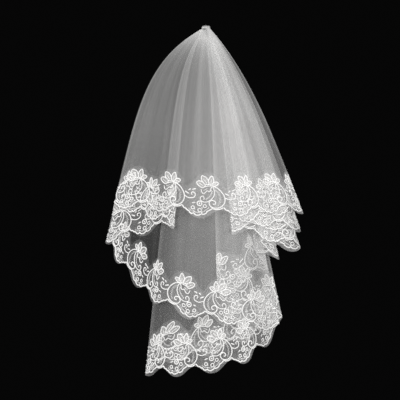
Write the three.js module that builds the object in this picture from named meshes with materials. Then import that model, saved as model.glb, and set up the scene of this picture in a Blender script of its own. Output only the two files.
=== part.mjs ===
// Two-tier lace bridal veil, in millimetres.
// One round sheet of tulle is gathered off its centre and hung from a hair comb, so that a short
// tier lies in front and a long tier behind. An embroidered, scalloped border runs round its edge.
// +Z is up, -Y is the outer side that is seen, +Y is the wearer's side.
// The origin is the place on the back of the head where the gathered top is fastened.
import * as THREE from "three";

// Driving dimensions
const wall = 1.0;
const pieceGap = 0.35;
const borderDepth = 115;

// Scallops of the edge: how many go round, how deep they are cut, how far their lowest point is
// above the hem line, how narrow the notches are, and over what length their pitch settles
const scallops = 39;
const scallopDepth = 26;
const scallopRaise = 4.5;
const notchSharpness = 1.25;
const pitchBlur = 30;

// Gathered top: how wide and how tight the folds are where they leave it
const neckSpread = 35;
const tightSpacing = 1.75;

// Bunch above the folds: its height, half sizes, middle and drawn-up gathers, and its outline
const bunchHeight = 8;
const bunchHalfWidth = 12.4;
const bunchHalfDepth = 12.6;
const bunchMiddleX = 2.7;
const bunchMiddleY = -11.2;
const bunchGathers = 14;
const sidesPerGather = 3;
const gatherRidge = 0.05;
const bunchOutline = [
  { height: 0, width: 0.98 },
  { height: 0.35, width: 1 },
  { height: 0.8, width: 0.78 },
  { height: 1, width: 0.42 },
];

// Shoulders push the cloth out sideways within a short way below the neck
const shoulderPushLeft = 580;
const shoulderPushRight = 162;
const shoulderReachLeft = 85;
const shoulderReachRight = 125;
const pushChangesFrom = -0.08;
const pushChangesTo = 0.13;

// Side outline: the cloth slopes out over the upper back, then hangs nearly straight
const backBulge = 82;
const backBulgeEnd = 260;
const hangLean = 15;
const longestDrop = 950;

// Plan outline: rounded over the back and falling away along the flanks
const flankSlope = 0.5;
const backRoundness = 60;

// Room between two layers of cloth at the hem, closest along the inner folds of the right side
const closeSpacing = 3;
const wideSpacing = 6.6;
const closestRay = 0.115;
const closeRayWidth = 0.2;
const fullSpacingDrop = 260;

// How far a fold's turn reaches sideways, in layers: at most, and less near the gathered top
const widestTurn = 0.6;
const tightestTurn = 0.45;
const roundTurnDrop = 30;

// Soft waves that radiate from the gathered top, the same through all layers
const wavePitch = 0.19;
const waveStart = 0.9;
const waveHeight = 7.5;
const waveHeightDrop = 500;
const slowWaveRate = 0.37;
const slowWaveShare = 0.7;

// Levels below the comb that every layer shares, then the shares of what is left of the net
const sharedDrops = [0, 20, 50, 95, 160, 260, 350];
const lowerShares = [0.5, 1];
const borderRows = 2;
const rayStep = 0.025;
const rayMargin = 0.35;
const rayLimit = 0.6;
const rayHalvings = 40;
const foldSteps = 3;
const sharpestMiter = 0.75;

// Course of the hem once round the sheet. A fold row is where the cloth turns back on itself.
// x: place to the right of the comb. drop: depth of the hem below it. layer: place in the stack,
// counted from the wearer's side. turn: layers crossed by the fold, negative towards the wearer,
// 0 where the cloth runs on. repeats: scallops counted so far, whole where one is lowest.
const hemRows = [
  { name: "front middle", x: 0, drop: 532, layer: 9, turn: 0, repeats: -0.16 },
  { name: "front left", x: -90, drop: 522, layer: 6, turn: 0, repeats: 0.66 },
  { name: "left fold, upper", x: -257, drop: 512, layer: 5.5, turn: -1, repeats: 2.37 },
  { name: "left fold, inner", x: -85, drop: 560, layer: 4.5, turn: -1, repeats: 5.11 },
  { name: "left fold, lower", x: -278, drop: 606, layer: 3.5, turn: -1, repeats: 7.14 },
  { name: "swoop, left", x: -245, drop: 662, layer: 3, turn: 0, repeats: 8.31 },
  { name: "swoop, falling", x: -186, drop: 726, layer: 3, turn: 0, repeats: 9.08 },
  { name: "swoop, curving", x: -140, drop: 767, layer: 3, turn: 0, repeats: 10.18 },
  { name: "swoop, middle", x: -47, drop: 807, layer: 3, turn: 0, repeats: 11.03 },
  { name: "swoop, low", x: 69, drop: 828, layer: 6, turn: 0, repeats: 12.13 },
  { name: "swoop, right", x: 165, drop: 845, layer: 6, turn: 0, repeats: 12.98 },
  { name: "right fold, lowest", x: 212, drop: 848, layer: 5.5, turn: -1, repeats: 13.5 },
  { name: "long tier, right", x: 157, drop: 900, layer: 5, turn: 0, repeats: 14.33 },
  { name: "long tier, falling", x: 96, drop: 937, layer: 5.2, turn: 0, repeats: 15.32 },
  { name: "long tier, lowest", x: 14, drop: 956, layer: 2.4, turn: 0, repeats: 16.06 },
  { name: "long tier, left", x: -82, drop: 964, layer: 1, turn: 0, repeats: 16.99 },
  { name: "left fold, lowest", x: -165, drop: 963, layer: 0.5, turn: -1, repeats: 18.14 },
  { name: "back, left", x: -96, drop: 930, layer: 0, turn: 0, repeats: 18.85 },
  { name: "back, middle", x: -14, drop: 918, layer: 0, turn: 0, repeats: 19.66 },
  { name: "back, right", x: 88, drop: 882, layer: 0, turn: 0, repeats: 20.7 },
  { name: "right fold, outermost", x: 217, drop: 816, layer: 0.5, turn: 1, repeats: 22.2 },
  { name: "inner fold, lowest", x: 34, drop: 758, layer: 1.5, turn: 1, repeats: 24.37 },
  { name: "right fold, fifth", x: 178, drop: 682, layer: 2.5, turn: 1, repeats: 25.95 },
  { name: "inner fold, fourth", x: 145, drop: 655, layer: 3.5, turn: 1, repeats: 26.45 },
  { name: "right fold, fourth", x: 206, drop: 645, layer: 5.5, turn: 3, repeats: 26.9 },
  { name: "inner fold, third", x: 156, drop: 619, layer: 7.5, turn: 1, repeats: 27.35 },
  { name: "right fold, third", x: 266, drop: 620, layer: 8.5, turn: 1, repeats: 28.2 },
  { name: "inner fold, second", x: 73, drop: 575, layer: 9.5, turn: 1, repeats: 29.98 },
  { name: "right fold, second", x: 266, drop: 569, layer: 10.5, turn: 1, repeats: 31.8 },
  { name: "inner fold, upper", x: 96, drop: 552, layer: 11.5, turn: 1, repeats: 33.75 },
  { name: "right fold, upper", x: 272, drop: 519, layer: 12.5, turn: 1, repeats: 35.88 },
  { name: "front right", x: 92, drop: 532, layer: 13, turn: 0, repeats: 38.17 },
];

// Hair comb, hidden under the bunch
const combWidth = 34;
const combHeight = 30;
const combBarHeight = 6;
const combThickness = 2;
const combTopDrop = 3;
const combTeeth = 8;
const toothWidth = 1.9;
const toothTipWidth = 1.1;
const combSetBack = 0.9;
const combMiddle = 1;

const lerp = THREE.MathUtils.lerp;
const smoothstep = THREE.MathUtils.smoothstep;

// How far the rays have spread at a drop below the comb, with side 0 at the left shoulder and 1
// at the right one
function spread(drop, side) {
  const push = lerp(shoulderPushLeft, shoulderPushRight, side);
  const reach = lerp(shoulderReachLeft, shoulderReachRight, side);
  return neckSpread + drop + push * (1 - Math.exp(-drop / reach));
}

function rayX(ray, drop) {
  return ray * spread(drop, smoothstep(ray, pushChangesFrom, pushChangesTo));
}

// The ray that passes a given place on the hem, found by halving
function rayThrough(x, drop) {
  let low = -rayLimit;
  let high = rayLimit;
  for (let step = 0; step < rayHalvings; step += 1) {
    const middle = (low + high) / 2;
    if (rayX(middle, drop) < x) {
      low = middle;
    } else {
      high = middle;
    }
  }
  return (low + high) / 2;
}

// The ray near a place, along which the waves and the room between layers are led
function rayAt(x, drop) {
  const side = smoothstep(x / spread(drop, 0.5), pushChangesFrom, pushChangesTo);
  return x / spread(drop, side);
}

// Distance between two layers at a place in the stack
function layerSpacing(x, drop) {
  const openness = smoothstep(Math.abs(rayAt(x, drop) - closestRay), 0, closeRayWidth);
  const atHem = lerp(closeSpacing, wideSpacing, openness);
  return lerp(tightSpacing, atHem, Math.min(1, drop / fullSpacingDrop));
}

// Depth of the wearer's side of the stack
function backDepth(x, drop) {
  const bulge = -backBulge * smoothstep(drop, 0, backBulgeEnd);
  const lean = (-hangLean * drop) / longestDrop;
  const rounding = Math.hypot(flankSlope * x, backRoundness) - backRoundness;
  const phase = (2 * Math.PI * rayAt(x, drop)) / wavePitch;
  const waves = Math.sin(phase + waveStart) + slowWaveShare * Math.sin(slowWaveRate * phase);
  return bulge + lean + rounding + (waveHeight * waves * drop) / waveHeightDrop;
}

// Smooth value of one column of the table between two rows
function between(rows, key, index, share) {
  const at = (step) => rows[(index + step + rows.length) % rows.length][key];
  const slopeIn = (at(1) - at(-1)) / 2;
  const slopeOut = (at(2) - at(0)) / 2;
  const s2 = share * share;
  const s3 = s2 * share;
  return (
    (2 * s3 - 3 * s2 + 1) * at(0) +
    (s3 - 2 * s2 + share) * slopeIn +
    (3 * s2 - 2 * s3) * at(1) +
    (s3 - s2) * slopeOut
  );
}

// Columns of the sheet, from the gathered top down to the hem, once round the hem
function makeColumns() {
  const rows = hemRows.map((row) => ({ ...row, ray: rayThrough(row.x, row.drop) }));
  const columns = [];
  rows.forEach((row, index) => {
    const next = rows[(index + 1) % rows.length];
    const heading = Math.sign(next.ray - row.ray);
    if (row.turn !== 0) {
      for (let step = 0; step <= foldSteps; step += 1) {
        const angle = Math.PI * (step / foldSteps - 0.5);
        columns.push({
          repeats: step === Math.ceil(foldSteps / 2) ? row.repeats : null,
          fold: row,
          heading,
          foldSide: -heading,
          foldCosine: Math.cos(angle),
          layer: row.layer + (row.turn / 2) * Math.sin(angle),
          drop: row.drop,
        });
      }
    }
    const start = nearestFold(rows, index, -1);
    const end = nearestFold(rows, (index + 1) % rows.length, 1);
    const layerFrom = row.layer + row.turn / 2;
    const layerTo = next.layer - next.turn / 2;
    for (const ray of raysBetween(row.ray, next.ray, row.turn === 0)) {
      const share = (ray - row.ray) / (next.ray - row.ray);
      columns.push({
        repeats: ray === row.ray ? row.repeats : null,
        ray,
        start,
        end,
        heading,
        layer: lerp(layerFrom, layerTo, smoothstep(share, 0, 1)),
        drop: between(rows, "drop", index, share),
      });
    }
  });
  return columns;
}

function nearestFold(rows, index, step) {
  let at = index;
  while (rows[at].turn === 0) {
    at = (at + step + rows.length) % rows.length;
  }
  return rows[at];
}

// Evenly spaced rays that lie between two rows, shared by all layers
function raysBetween(from, to, withFirst) {
  const rays = [];
  const low = Math.ceil(Math.min(from, to) / rayStep + rayMargin);
  const high = Math.floor(Math.max(from, to) / rayStep - rayMargin);
  for (let count = low; count <= high; count += 1) {
    rays.push(count * rayStep);
  }
  if (to < from) {
    rays.reverse();
  }
  if (withFirst) {
    rays.unshift(from);
  }
  return rays;
}

// How far a fold's turn reaches sideways at a drop
function foldReach(fold, drop) {
  const layers = Math.min(Math.abs(fold.turn) / 2, widestTurn);
  const roundness = lerp(tightestTurn, 1, Math.min(1, drop / roundTurnDrop));
  return layers * roundness * layerSpacing(rayX(fold.ray, drop), drop);
}

// A point of the sheet's middle surface, on a fold's turn or between two folds
function sheetPoint(column, drop) {
  let x;
  if (column.fold) {
    const reach = foldReach(column.fold, drop);
    const tip = rayX(column.fold.ray, drop);
    x = tip - column.foldSide * reach * (1 - column.foldCosine);
  } else {
    const { start, end, heading } = column;
    const from = rayX(start.ray, drop);
    const to = rayX(end.ray, drop);
    const share = (rayX(column.ray, drop) - from) / (to - from);
    const insideFrom = from + heading * foldReach(start, drop);
    const insideTo = to - heading * foldReach(end, drop);
    x = lerp(insideFrom, insideTo, share);
  }
  const y = backDepth(x, drop) - column.layer * layerSpacing(x, drop);
  return new THREE.Vector3(x, y, -drop);
}

// Length of the hem up to each column
function hemLengths(columns) {
  const lengths = [];
  let length = 0;
  columns.forEach((column, index) => {
    const here = sheetPoint(column, column.drop);
    const last = columns[(index + columns.length - 1) % columns.length];
    if (index > 0) {
      length += here.distanceTo(sheetPoint(last, last.drop));
    }
    lengths.push(length);
  });
  const first = sheetPoint(columns[0], columns[0].drop);
  const final = columns[columns.length - 1];
  length += first.distanceTo(sheetPoint(final, final.drop));
  return { lengths, total: length };
}

// Scallops counted up to each column: led through the counts of the rows, with a pitch that
// changes smoothly along the hem
function scallopCounts(columns) {
  const { lengths, total } = hemLengths(columns);
  const marks = [];
  columns.forEach((column, index) => {
    if (column.repeats !== null) {
      marks.push({ length: lengths[index], repeats: column.repeats });
    }
  });
  marks.push({ length: total, repeats: marks[0].repeats + scallops });
  const offsets = lengths.map((length) => {
    const next = Math.max(1, marks.findIndex((mark) => mark.length > length));
    const [from, to] = [marks[next - 1], marks[next]];
    const share = (length - from.length) / (to.length - from.length);
    return lerp(from.repeats, to.repeats, share) - (scallops * length) / total;
  });
  return lengths.map((length, index) => {
    let weights = 0;
    let sum = 0;
    lengths.forEach((other, at) => {
      const apart = Math.abs(other - length);
      const near = Math.min(apart, total - apart) / pitchBlur;
      const reach = (lengths[(at + 1) % lengths.length] - lengths.at(at - 1) + total) % total;
      const weight = reach * Math.exp(-0.5 * near * near);
      weights += weight;
      sum += weight * offsets[at];
    });
    return (scallops * length) / total + sum / weights;
  });
}

// Hollow folded wall with closed rims, from rows of drops for each column
function wallGeometry(columns, dropsOf) {
  const rowCount = dropsOf(0).length;
  const middle = columns.map((column, index) => {
    return dropsOf(index).map((drop) => sheetPoint(column, drop));
  });
  const positions = [];
  const across = new THREE.Vector3();
  const down = new THREE.Vector3();
  const count = columns.length;
  for (const side of [1, -1]) {
    for (let c = 0; c < count; c += 1) {
      for (let r = 0; r < rowCount; r += 1) {
        const before = middle[(c + count - 1) % count][r];
        const after = middle[(c + 1) % count][r];
        const incoming = middle[c][r].clone().sub(before).normalize();
        const outgoing = after.clone().sub(middle[c][r]).normalize();
        across.addVectors(incoming, outgoing);
        const drop = -middle[c][r].z;
        down.subVectors(sheetPoint(columns[c], drop + 1), sheetPoint(columns[c], drop - 1));
        const normal = new THREE.Vector3().crossVectors(across, down);
        normal.z *= drop > 0 ? 1 : 0;
        normal.normalize();
        const miter = 1 / Math.max(sharpestMiter, Math.sqrt((1 + incoming.dot(outgoing)) / 2));
        const point = middle[c][r].clone().addScaledVector(normal, (side * miter * wall) / 2);
        positions.push(point.x, point.y, point.z);
      }
    }
  }
  const at = (side, c, r) => side * count * rowCount + (c % count) * rowCount + r;
  const indices = [];
  const quad = (a, b, c, d) => indices.push(a, b, c, a, c, d);
  for (let c = 0; c < count; c += 1) {
    for (let r = 0; r < rowCount - 1; r += 1) {
      const outer = [at(0, c, r), at(0, c + 1, r), at(0, c + 1, r + 1), at(0, c, r + 1)];
      const inner = [at(1, c, r), at(1, c, r + 1), at(1, c + 1, r + 1), at(1, c + 1, r)];
      // Neighbouring layers run in opposite directions, and both are creased from upper left
      // to lower right
      if (columns[c].heading < 0) {
        outer.push(outer.shift());
        inner.push(inner.shift());
      }
      quad(...outer);
      quad(...inner);
    }
    quad(at(0, c, 0), at(1, c, 0), at(1, c + 1, 0), at(0, c + 1, 0));
    const r = rowCount - 1;
    quad(at(0, c, r), at(0, c + 1, r), at(1, c + 1, r), at(1, c, r));
  }
  return meshGeometry(positions, indices);
}

function meshGeometry(positions, indices) {
  const geometry = new THREE.BufferGeometry();
  geometry.setAttribute("position", new THREE.Float32BufferAttribute(positions, 3));
  geometry.setIndex(indices);
  geometry.computeVertexNormals();
  return geometry;
}

function tulleGeometry(columns) {
  return wallGeometry(columns, (index) => {
    const lastShared = sharedDrops[sharedDrops.length - 1];
    const end = columns[index].drop - borderDepth;
    return [...sharedDrops, ...lowerShares.map((share) => lerp(lastShared, end, share))];
  });
}

function borderGeometry(columns) {
  const counts = scallopCounts(columns);
  return wallGeometry(columns, (index) => {
    const top = columns[index].drop - borderDepth + pieceGap;
    const wave = (1 - Math.cos(2 * Math.PI * counts[index])) / 2;
    const rise = scallopRaise + scallopDepth * Math.pow(wave, notchSharpness);
    const hem = columns[index].drop - rise;
    const drops = [];
    for (let row = 0; row <= borderRows; row += 1) {
      drops.push(lerp(top, hem, row / borderRows));
    }
    return drops;
  });
}

// The bunch: a low crown with gathers, as wide as the folded net just below it
function bunchGeometry() {
  const sides = bunchGathers * sidesPerGather;
  const positions = [];
  for (const ring of bunchOutline) {
    for (let side = 0; side < sides; side += 1) {
      const angle = (2 * Math.PI * side) / sides;
      const width = ring.width * (1 + gatherRidge * Math.cos(bunchGathers * angle));
      positions.push(
        bunchMiddleX + bunchHalfWidth * width * Math.cos(angle),
        bunchMiddleY + bunchHalfDepth * width * Math.sin(angle),
        pieceGap + bunchHeight * ring.height,
      );
    }
  }
  const bottom = positions.length / 3;
  positions.push(bunchMiddleX, bunchMiddleY, pieceGap);
  positions.push(bunchMiddleX, bunchMiddleY, pieceGap + bunchHeight);
  const indices = [];
  const top = (bunchOutline.length - 1) * sides;
  for (let side = 0; side < sides; side += 1) {
    const next = (side + 1) % sides;
    for (let ring = 0; ring < bunchOutline.length - 1; ring += 1) {
      const low = ring * sides;
      const high = low + sides;
      indices.push(low + side, low + next, high + next, low + side, high + next, high + side);
    }
    indices.push(bottom, next, side);
    indices.push(bottom + 1, top + side, top + next);
  }
  return meshGeometry(positions, indices);
}

// Comb outline: a straight bar with tapered teeth that point down
function combGeometry() {
  const outline = new THREE.Shape();
  const pitch = (combWidth - toothWidth) / (combTeeth - 1);
  const left = -combWidth / 2;
  outline.moveTo(-left, 0);
  outline.lineTo(left, 0);
  for (let tooth = 0; tooth < combTeeth; tooth += 1) {
    const root = left + tooth * pitch;
    const tip = root + (toothWidth - toothTipWidth) / 2;
    outline.lineTo(root, -combBarHeight);
    outline.lineTo(tip, -combHeight);
    outline.lineTo(tip + toothTipWidth, -combHeight);
    outline.lineTo(root + toothWidth, -combBarHeight);
  }
  const geometry = new THREE.ExtrudeGeometry(outline, {
    depth: combThickness,
    bevelEnabled: false,
  });
  geometry.rotateX(Math.PI / 2);
  geometry.translate(combMiddle, combSetBack + combThickness, -combTopDrop);
  return geometry;
}

function namedMesh(name, geometry, color, roughness) {
  const material = new THREE.MeshStandardMaterial({ color, roughness, metalness: 0 });
  const mesh = new THREE.Mesh(geometry, material);
  mesh.name = name;
  return mesh;
}

const columns = makeColumns();
const group = new THREE.Group();
group.add(namedMesh("tulle", tulleGeometry(columns), 0xefeeec, 0.85));
group.add(namedMesh("lace_border", borderGeometry(columns), 0xf7f6f3, 0.7));
group.add(namedMesh("gathered_top", bunchGeometry(), 0xf0eeeb, 0.85));
group.add(namedMesh("hair_comb", combGeometry(), 0xe9e4da, 0.35));

export default group;
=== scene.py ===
import math
from collections import namedtuple

import bpy
import numpy as np
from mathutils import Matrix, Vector


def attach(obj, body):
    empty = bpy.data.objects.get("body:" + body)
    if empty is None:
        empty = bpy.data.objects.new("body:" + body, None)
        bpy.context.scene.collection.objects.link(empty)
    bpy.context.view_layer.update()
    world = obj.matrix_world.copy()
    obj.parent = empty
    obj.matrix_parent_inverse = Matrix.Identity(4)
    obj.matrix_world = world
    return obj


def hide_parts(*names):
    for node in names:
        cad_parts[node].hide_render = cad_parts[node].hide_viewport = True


# Two-tier lace bridal veil. The sheet's shape is worked out in millimetres, x to the right, y away
# from the outer side, drop downwards from the comb, and turned into metres when a mesh is made.
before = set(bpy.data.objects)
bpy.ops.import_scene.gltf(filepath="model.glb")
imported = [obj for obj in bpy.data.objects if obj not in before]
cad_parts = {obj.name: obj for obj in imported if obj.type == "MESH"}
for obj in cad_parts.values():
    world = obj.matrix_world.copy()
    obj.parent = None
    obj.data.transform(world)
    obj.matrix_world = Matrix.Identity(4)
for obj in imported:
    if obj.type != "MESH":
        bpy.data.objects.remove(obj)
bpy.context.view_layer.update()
MM = 0.001

# Spread of the folds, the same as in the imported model
NECK_SPREAD = 35
TIGHT_SPACING = 1.75
SHOULDER_REACH = (85, 125)
SHOULDER_PUSH = (580, 162)
PUSH_CHANGES = (-0.08, 0.13)
BACK_BULGE = 82
BACK_BULGE_END = 260
HANG_LEAN = 15
LONGEST_DROP = 950
FLANK_SLOPE = 0.5
BACK_ROUNDNESS = 60
HEM_SPACING = (3, 6.6)
CLOSEST_RAY = 0.115
CLOSE_RAY_WIDTH = 0.2
WIDEST_TURN = 0.6
TIGHTEST_TURN = 0.45
ROUND_TURN_DROP = 30
FULL_SPACING_DROP = 260
WAVE_PITCH = 0.19
WAVE_START = 0.9
WAVE_HEIGHT = 7.5
WAVE_HEIGHT_DROP = 500
SLOW_WAVE_RATE = 0.37
SLOW_WAVE_SHARE = 0.7

# Finer waves that only the visible cloth has
RIPPLE_RATE = 3.1
RIPPLE_HEIGHT = 0.9
RIPPLE_BEND = 1.3
RIPPLE_BEND_RATE = 0.7
RIPPLE_DRIFT = 260
FLUTTER_LENGTH = 96
FLUTTER_SHARE = 0.2
FLUTTER_TURN = 2.4

# Fine pleats, too small for the mesh, make the net denser: across the rays, and how dense there
FULLNESS = [(-0.4, 1.05), (-0.09, 1.05), (-0.03, 1.7), (0.08, 1.8), (0.16, 1.9), (0.45, 2.05)]
GATHER_FULLNESS = 5
GATHER_REACH = 26

# Fineness of the visible sheet, and how widely and often the ray through a place is looked for
RAY_STEP = 0.0055
RAY_MARGIN = 0.35
RAY_LIMIT = 0.6
RAY_HALVINGS = 40
FOLD_STEPS = 8
SHEET_ROWS = 56
ROW_CROWDING = 1.15

# Embroidered border: the length of a repeat on the chart. Scalloped cut edge: its depth, its height
# above the hem line, where on the chart it is lowest, the rounds that settle it, and how narrow its
# notches are.
REPEAT = 103
EDGE_DEPTH = 26
EDGE_RAISE = 4.5
EDGE_LOWEST = 31
EDGE_SETTLING = 12
NOTCH_SHARPNESS = 1.25

# How the chart lies on the sheet: how softly the repeats are led along the hem, how far up from the
# hem the sheet's direction is measured, how high the chart reaches, and how close to its top
COUNT_BLUR = 30
RISE_SPAN = 60
BORDER_HEIGHT = 186
BORDER_ROWS = 36
BORDER_MARGIN = 0.001

# Creases, where the sheet turns round a fold
CREASE_WIDTH = 5

# Where the hem runs aslant to the rays, the motifs turn from the rays towards square on the hem, by
# a share of the way. It is larger on the folds of the right side, told by their counts of repeats.
TILT_BLUR = 22
TILT_SHARE = 0.4
RIGHT_TILT_SHARE = 0.95
RIGHT_FOLDS = (22.5, 35)

# Painted shade on cords behind other layers: they are painted darker and fainter in place of the
# shade that the layers in front cast. A layer covers them if its hem ends no further above theirs
# than the margin and it lies further in front than a share of a layer. Then come the light that
# passes one layer, and how faint and how dark a fully covered cord gets.
COVER_MARGIN = 115
COVER_LAYERS = 0.6
COVERED_LIGHT = 0.62
COVERED_FADE = 0.95
COVERED_SHADE = 0.4

# Cords: the step along them, the sides round them, their thickness as a share of their width, how
# narrow their ends are, and the fewest steps of a cord, a zigzag and a ring
CORD_STEP = 2.4
CORD_SIDES = 6
CORD_FLATNESS = 0.5
CORD_END = 0.35
FEWEST_CORD_STEPS = 2
FEWEST_ZIGZAG_STEPS = 4
FEWEST_RING_STEPS = 7

# Points of a curve between one knot and the next, before it is divided evenly
KNOT_STEPS = 12

# Course of the hem once round the sheet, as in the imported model. The last number counts the
# repeats of the embroidery, whole where a scallop is lowest.
Row = namedtuple("Row", "name, x, drop, layer, turn, repeats")
HEM_ROWS = [
    ("front middle", 0, 532, 9, 0, -0.16),
    ("front left", -90, 522, 6, 0, 0.66),
    ("left fold, upper", -257, 512, 5.5, -1, 2.37),
    ("left fold, inner", -85, 560, 4.5, -1, 5.11),
    ("left fold, lower", -278, 606, 3.5, -1, 7.14),
    ("swoop, left", -245, 662, 3, 0, 8.31),
    ("swoop, falling", -186, 726, 3, 0, 9.08),
    ("swoop, curving", -140, 767, 3, 0, 10.18),
    ("swoop, middle", -47, 807, 3, 0, 11.03),
    ("swoop, low", 69, 828, 6, 0, 12.13),
    ("swoop, right", 165, 845, 6, 0, 12.98),
    ("right fold, lowest", 212, 848, 5.5, -1, 13.5),
    ("long tier, right", 157, 900, 5, 0, 14.33),
    ("long tier, falling", 96, 937, 5.2, 0, 15.32),
    ("long tier, lowest", 14, 956, 2.4, 0, 16.06),
    ("long tier, left", -82, 964, 1, 0, 16.99),
    ("left fold, lowest", -165, 963, 0.5, -1, 18.14),
    ("back, left", -96, 930, 0, 0, 18.85),
    ("back, middle", -14, 918, 0, 0, 19.66),
    ("back, right", 88, 882, 0, 0, 20.7),
    ("right fold, outermost", 217, 816, 0.5, 1, 22.2),
    ("inner fold, lowest", 34, 758, 1.5, 1, 24.37),
    ("right fold, fifth", 178, 682, 2.5, 1, 25.95),
    ("inner fold, fourth", 145, 655, 3.5, 1, 26.45),
    ("right fold, fourth", 206, 645, 5.5, 3, 26.9),
    ("inner fold, third", 156, 619, 7.5, 1, 27.35),
    ("right fold, third", 266, 620, 8.5, 1, 28.2),
    ("inner fold, second", 73, 575, 9.5, 1, 29.98),
    ("right fold, second", 266, 569, 10.5, 1, 31.8),
    ("inner fold, upper", 96, 552, 11.5, 1, 33.75),
    ("right fold, upper", 272, 519, 12.5, 1, 35.88),
    ("front right", 92, 532, 13, 0, 38.17),
]
HEM = [Row(*values) for values in HEM_ROWS]
REPEATS = 39

# Outlines of a flower's petals, in one repeat of the embroidery
PETALS = [
    [(-1, 95), (-9.5, 95.5), (-16, 102), (-9.5, 106), (-1.5, 102)],
    [(0, 98), (-4, 107), (-3, 115), (0.5, 122), (7, 116), (9.5, 107), (7, 99)],
    [(8, 99), (10.5, 109), (16, 117), (28.5, 121), (30, 111), (25, 104), (17, 98)],
    [(18, 96.5), (27, 104), (36, 106.5), (43, 102), (36, 93), (25, 88.5)],
]

# One repeat of the embroidery: along the hem and above its lowest point, in millimetres.
# piece, width of the cord, closed or not, the points that it curves through
MOTIF = [
    ("scallop_cord", 3.6, False, [(-0.5, 34), (5, 29), (12, 25), (13, 22), (15.5, 19),
     (22, 16), (26.5, 17.5), (31, 14), (38, 12.5), (44, 15), (46, 18), (51, 15.5), (56, 18.5),
     (58, 22), (63, 24), (67, 28), (72, 29.5), (77.5, 37)]),
    ("scallop_cord", 3.1, False, [(77.5, 37), (86.5, 31.5), (97.5, 31), (103, 34)]),
    ("paisley_cord", 3.2, False, [(-1, 94.5), (-12.5, 89), (-22, 79), (-28.5, 67), (-29.5, 54),
     (-24.5, 43), (-16, 36), (-6, 34.5), (3.5, 38.5), (7.5, 47.5), (4, 54.5), (-3.5, 54.5),
     (-8, 49.5), (-5.5, 44.5), (-1, 46)]),
    ("paisley_cord", 2.8, False, [(-1.5, 93), (-5, 82), (-5, 71), (0.5, 60), (7.5, 53.5),
     (15, 50), (23.5, 50.5), (29.5, 54), (31, 60.5), (27.5, 65.5), (23, 65), (20.5, 60),
     (23.5, 56)]),
    ("flower_cord", 2.8, False, [(-1, 94.5), (3, 88.5), (5, 80.5), (9, 79), (13, 81.5),
     (18.5, 75.5), (23.5, 73), (27.5, 76.5), (30.5, 85)]),
    *(("flower_cord", 3.1, True, petal) for petal in PETALS),
    ("flower_cord", 2.6, False, [(-1, 95), (7.5, 94.5), (17.5, 92), (24.5, 88.5)]),
    ("flower_cord", 1.9, False, [(-2.5, 98.5), (-10, 101.5)]),
    ("flower_cord", 1.9, False, [(3.5, 99.5), (2, 112.5)]),
    ("flower_cord", 1.9, False, [(13, 100), (24, 113.5)]),
    ("flower_cord", 1.9, False, [(23, 93), (36, 101)]),
    ("vine_cord", 2.8, False, [(73, 63), (64.5, 58.5), (57, 57.5), (49, 59.5), (45, 64.5),
     (45, 71), (50, 74.5), (55, 72.5), (54.5, 68), (51.5, 67.5)]),
    ("vine_cord", 3.6, False, [(43, 84.5), (48, 83), (53.5, 80)]),
    ("vine_cord", 3.6, False, [(56.5, 82.5), (60.5, 80.5), (63.5, 77.5)]),
    ("vine_cord", 3.6, False, [(61, 68.5), (67, 71.5), (73, 75)]),
    ("ring_cord", 3.3, False, [(43, 46.5), (47, 46.5), (52.5, 44.5)]),
    ("ring_cord", 2.6, False, [(24, 30), (26.5, 36.5)]),
    ("ring_cord", 2.6, False, [(43.5, 26.5), (45.5, 33.5)]),
    ("ring_cord", 2.3, False, [(27.5, 22.5), (24, 19)]),
    ("ring_cord", 2.3, False, [(43, 22), (47, 24)]),
]

# Rings of one repeat: along, above, radius, width of the cord
RINGS = [
    (32.5, 45.5, 6.2, 3.2),
    (32.5, 45.5, 1.2, 2.8),
    (18.5, 39, 4.3, 2.6),
    (31.5, 27, 4.5, 2.8),
    (49, 32.5, 4.2, 2.6),
]

# Rows of small zigzag stitches of one repeat: width of the zigzag, the points that it follows
ZIGZAGS = [
    (4.8, [(-6.5, 86), (-14, 77), (-18.5, 66), (-18.5, 56), (-16.5, 47), (-12, 42)]),
    (3.0, [(1.5, 84), (1, 76), (5, 68.5), (11, 61), (17, 57)]),
    (2.6, [(12, 88), (18, 84), (24, 82)]),
    (3.4, [(7, 37), (13, 31), (19, 25.5), (26, 21.5), (36, 19.5), (45, 22), (53, 24.5), (61, 30)]),
]
ZIGZAG_PITCH = 4.4
ZIGZAG_CORD = 1.7

# Upper outline of the doubled ground behind the embroidery, for one repeat. Its lower edge lies just
# inside the cut edge, and it lies just proud of the net.
GROUND_TOP = [(-30, 90), (-24, 106), (-12, 121), (3, 130), (24, 130), (40, 120), (52, 104),
              (62, 93), (73, 90)]
GROUND_STEP = 3.2
GROUND_ROWS = 12
GROUND_INSET = 0.5
GROUND_LIFT = 0.3

# Stitched fill of the petals: its rings, as shares of the outline, and its height above the net
FILL_RINGS = (1, 0.66, 0.33)
FILL_LIFT = 0.25

# Gathered top: its middle, half sizes, count of pleats, twist for each millimetre of height, and its
# outline as heights and shares of the half sizes
BUNCH_MIDDLE = (2.7, -11.2)
BUNCH_HALF = (12.6, 12.6)
BUNCH_PLEATS = 18
BUNCH_TWIST = 0.05
BUNCH_ROWS = 22
BUNCH_OUTLINE = [(-2.0, 0.86), (0.35, 0.97), (2.2, 0.93), (3.2, 0.86), (4.2, 0.9), (6.0, 0.84),
                 (7.3, 0.66), (8.1, 0.34), (8.3, 0.1)]

# Pleats of the gathered top: the foot and the ridge as shares of the outline, and the slow wave that
# spaces them unevenly
PLEAT_SIDES = 8
PLEAT_FOOT = 0.86
PLEAT_RIDGE = 0.15
PLEAT_BEND = 0.5
PLEAT_BENDS = 3

# Sewing thread wound round the pleats: its heights, width, rise and fall, and how far it stands off
# the pleats as a share of the half sizes
THREAD_HEIGHTS = (2.7, 3.2, 3.7)
THREAD_WIDTH = 0.7
THREAD_SWAY = 0.25
THREAD_LIFT = 0.02
THREAD_STEPS = 96

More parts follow.
